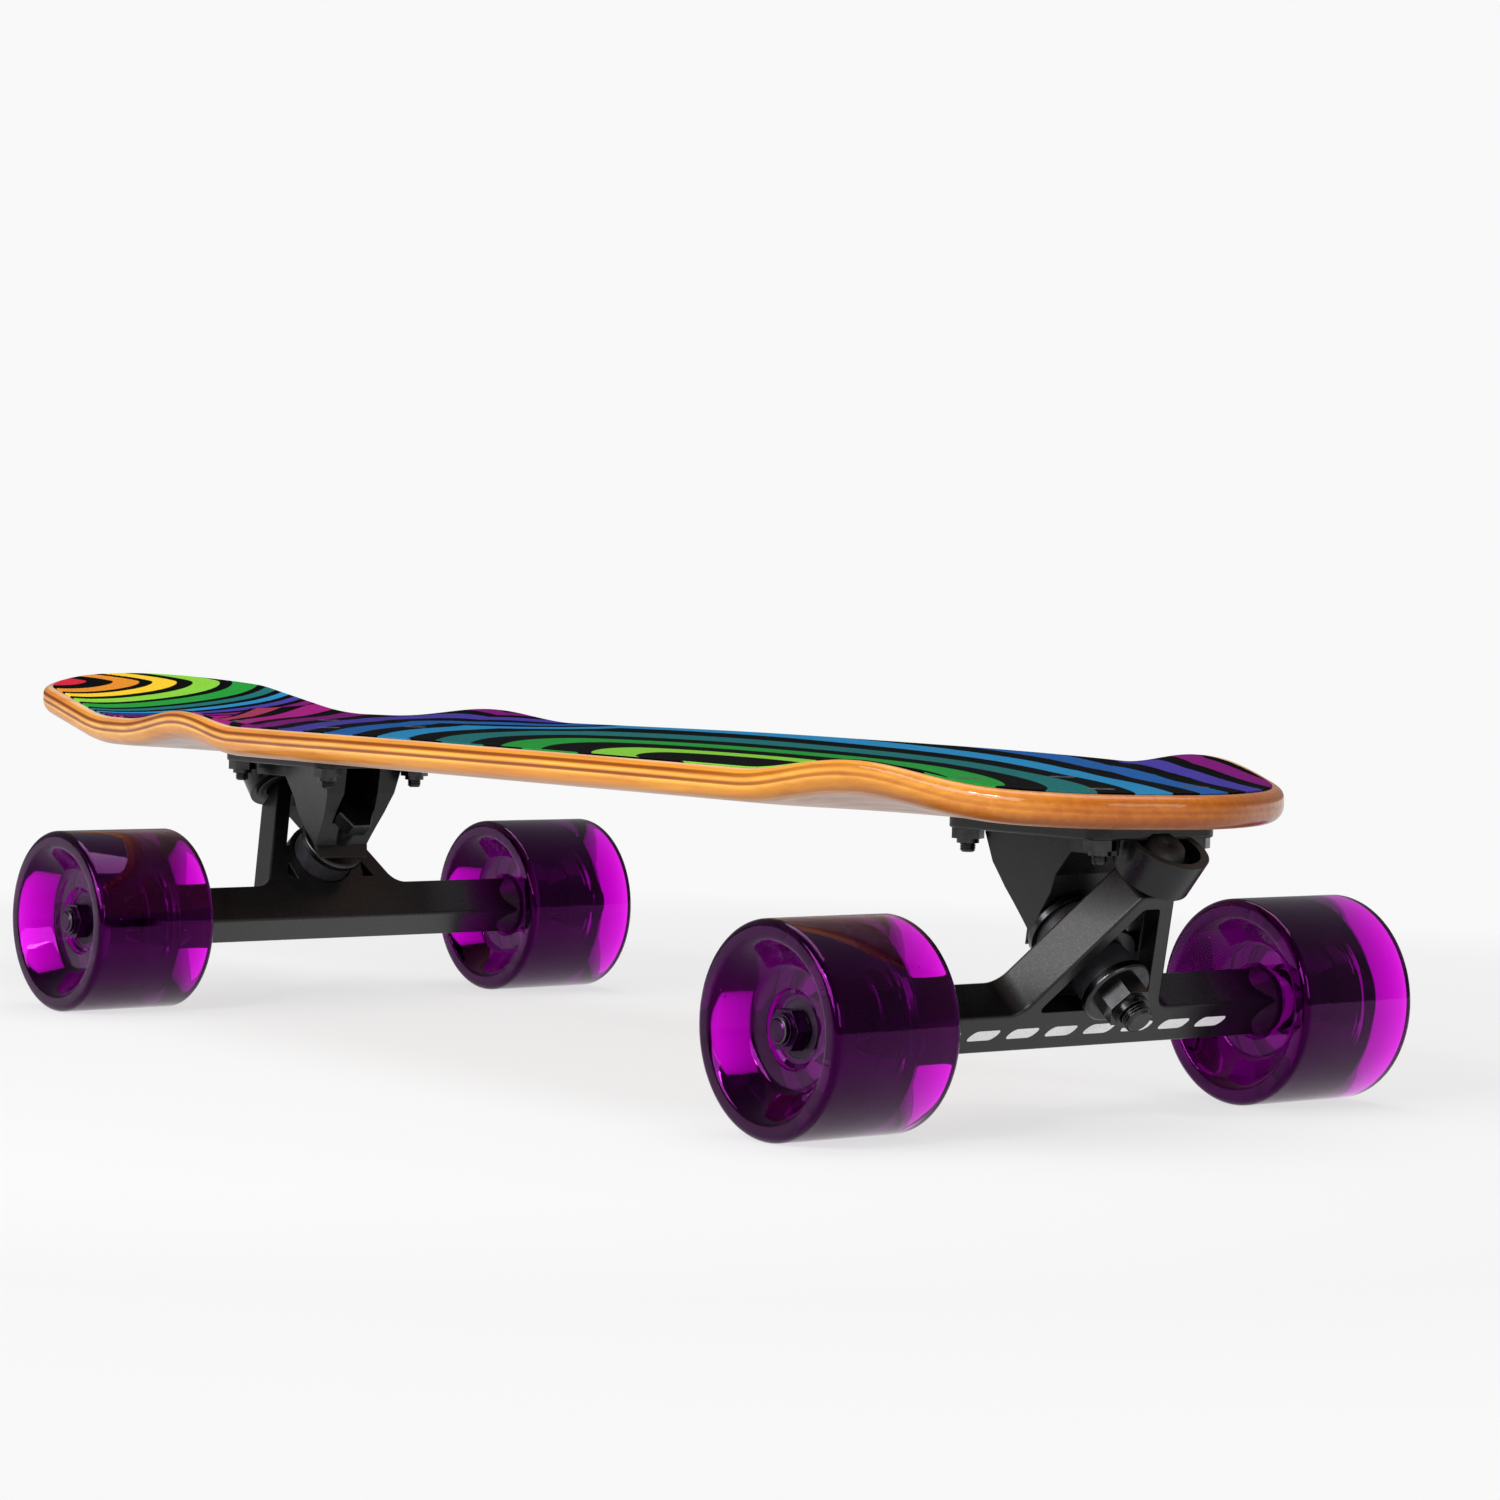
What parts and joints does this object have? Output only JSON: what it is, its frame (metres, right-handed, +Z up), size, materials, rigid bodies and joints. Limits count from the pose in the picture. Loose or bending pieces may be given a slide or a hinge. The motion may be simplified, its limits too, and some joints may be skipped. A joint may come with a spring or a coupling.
{
  "type": "skateboard",
  "caption": "Short cruiser skateboard: pressed maple deck with a kicktail and wheel flares, striped grip sheet, reverse-kingpin trucks and clear purple urethane wheels.",
  "frame": {"origin": "on the floor, under the middle of the deck's length and width", "axes": "+X towards the nose, +Y to the rider's left, +Z up"},
  "size_m": [0.676, 0.2532, 0.1258],
  "materials": {
    "maple": "glossy clear lacquer",
    "printed_grip": "printed stripes under fine clear grit",
    "cast_black": "satin black powder coat",
    "dark_steel": "black zinc",
    "axle_steel": "dark plating, violet next to the clear wheels",
    "bearing_steel": "polished dark steel, violet next to the clear wheels",
    "bearing_seal": "matte",
    "bushing_urethane": "satin",
    "cup_urethane": "satin",
    "wheel_urethane": "clear magenta-purple urethane"
  },
  "bodies": {
    "board": {"deck": "maple", "grip_sheet": "printed_grip", "front_baseplate": "cast_black", "front_pivot_cup": "cup_urethane", "front_kingpin": "dark_steel", "front_kingpin_nut": "dark_steel", "front_boardside_washer": "dark_steel", "front_boardside_bushing": "bushing_urethane", "front_roadside_bushing": "bushing_urethane", "front_roadside_washer": "dark_steel", "front_mounting_bolts": "dark_steel", "front_mounting_nuts": "dark_steel", "rear_baseplate": "cast_black", "rear_pivot_cup": "cup_urethane", "rear_kingpin": "dark_steel", "rear_kingpin_nut": "dark_steel", "rear_boardside_washer": "dark_steel", "rear_boardside_bushing": "bushing_urethane", "rear_roadside_bushing": "bushing_urethane", "rear_roadside_washer": "dark_steel", "rear_mounting_bolts": "dark_steel", "rear_mounting_nuts": "dark_steel"},
    "front_truck": {"front_hanger": "cast_black", "front_axle": "axle_steel", "front_axle_nuts": "axle_steel", "front_speed_washers": "dark_steel", "front_left_inner_races": "bearing_steel", "front_left_bearing_spacer": "axle_steel", "front_right_inner_races": "bearing_steel", "front_right_bearing_spacer": "axle_steel"},
    "front_left_wheel": {"front_left_wheel": "wheel_urethane", "front_left_outer_races": "bearing_steel", "front_left_bearing_balls": "bearing_steel", "front_left_bearing_shields": "bearing_seal"},
    "front_right_wheel": {"front_right_wheel": "wheel_urethane", "front_right_outer_races": "bearing_steel", "front_right_bearing_balls": "bearing_steel", "front_right_bearing_shields": "bearing_seal"},
    "rear_truck": {"rear_hanger": "cast_black", "rear_axle": "axle_steel", "rear_axle_nuts": "axle_steel", "rear_speed_washers": "dark_steel", "rear_left_inner_races": "bearing_steel", "rear_left_bearing_spacer": "axle_steel", "rear_right_inner_races": "bearing_steel", "rear_right_bearing_spacer": "axle_steel"},
    "rear_left_wheel": {"rear_left_wheel": "wheel_urethane", "rear_left_outer_races": "bearing_steel", "rear_left_bearing_balls": "bearing_steel", "rear_left_bearing_shields": "bearing_seal"},
    "rear_right_wheel": {"rear_right_wheel": "wheel_urethane", "rear_right_outer_races": "bearing_steel", "rear_right_bearing_balls": "bearing_steel", "rear_right_bearing_shields": "bearing_seal"}
  },
  "joints": [
    {"name": "front_steer", "type": "hinge", "parent": "board", "child": "front_truck", "pos_m": [0.2685, 0, 0.035], "axis": [0.6157, 0, 0.788], "range_deg": [-15, 15], "stiffness_Nm_per_rad": 60, "deforming": ["front_boardside_bushing", "front_roadside_bushing"]},
    {"name": "front_left_spin", "type": "hinge", "parent": "front_truck", "child": "front_left_wheel", "pos_m": [0.2685, 0.1011, 0.035], "axis": [0, 1, 0], "continuous": true},
    {"name": "front_right_spin", "type": "hinge", "parent": "front_truck", "child": "front_right_wheel", "pos_m": [0.2685, -0.1011, 0.035], "axis": [0, 1, 0], "continuous": true},
    {"name": "rear_steer", "type": "hinge", "parent": "board", "child": "rear_truck", "pos_m": [-0.1715, 0, 0.035], "axis": [-0.6157, 0, 0.788], "range_deg": [-15, 15], "stiffness_Nm_per_rad": 60, "deforming": ["rear_boardside_bushing", "rear_roadside_bushing"]},
    {"name": "rear_left_spin", "type": "hinge", "parent": "rear_truck", "child": "rear_left_wheel", "pos_m": [-0.1715, 0.1011, 0.035], "axis": [0, 1, 0], "continuous": true},
    {"name": "rear_right_spin", "type": "hinge", "parent": "rear_truck", "child": "rear_right_wheel", "pos_m": [-0.1715, -0.1011, 0.035], "axis": [0, 1, 0], "continuous": true}
  ]
}
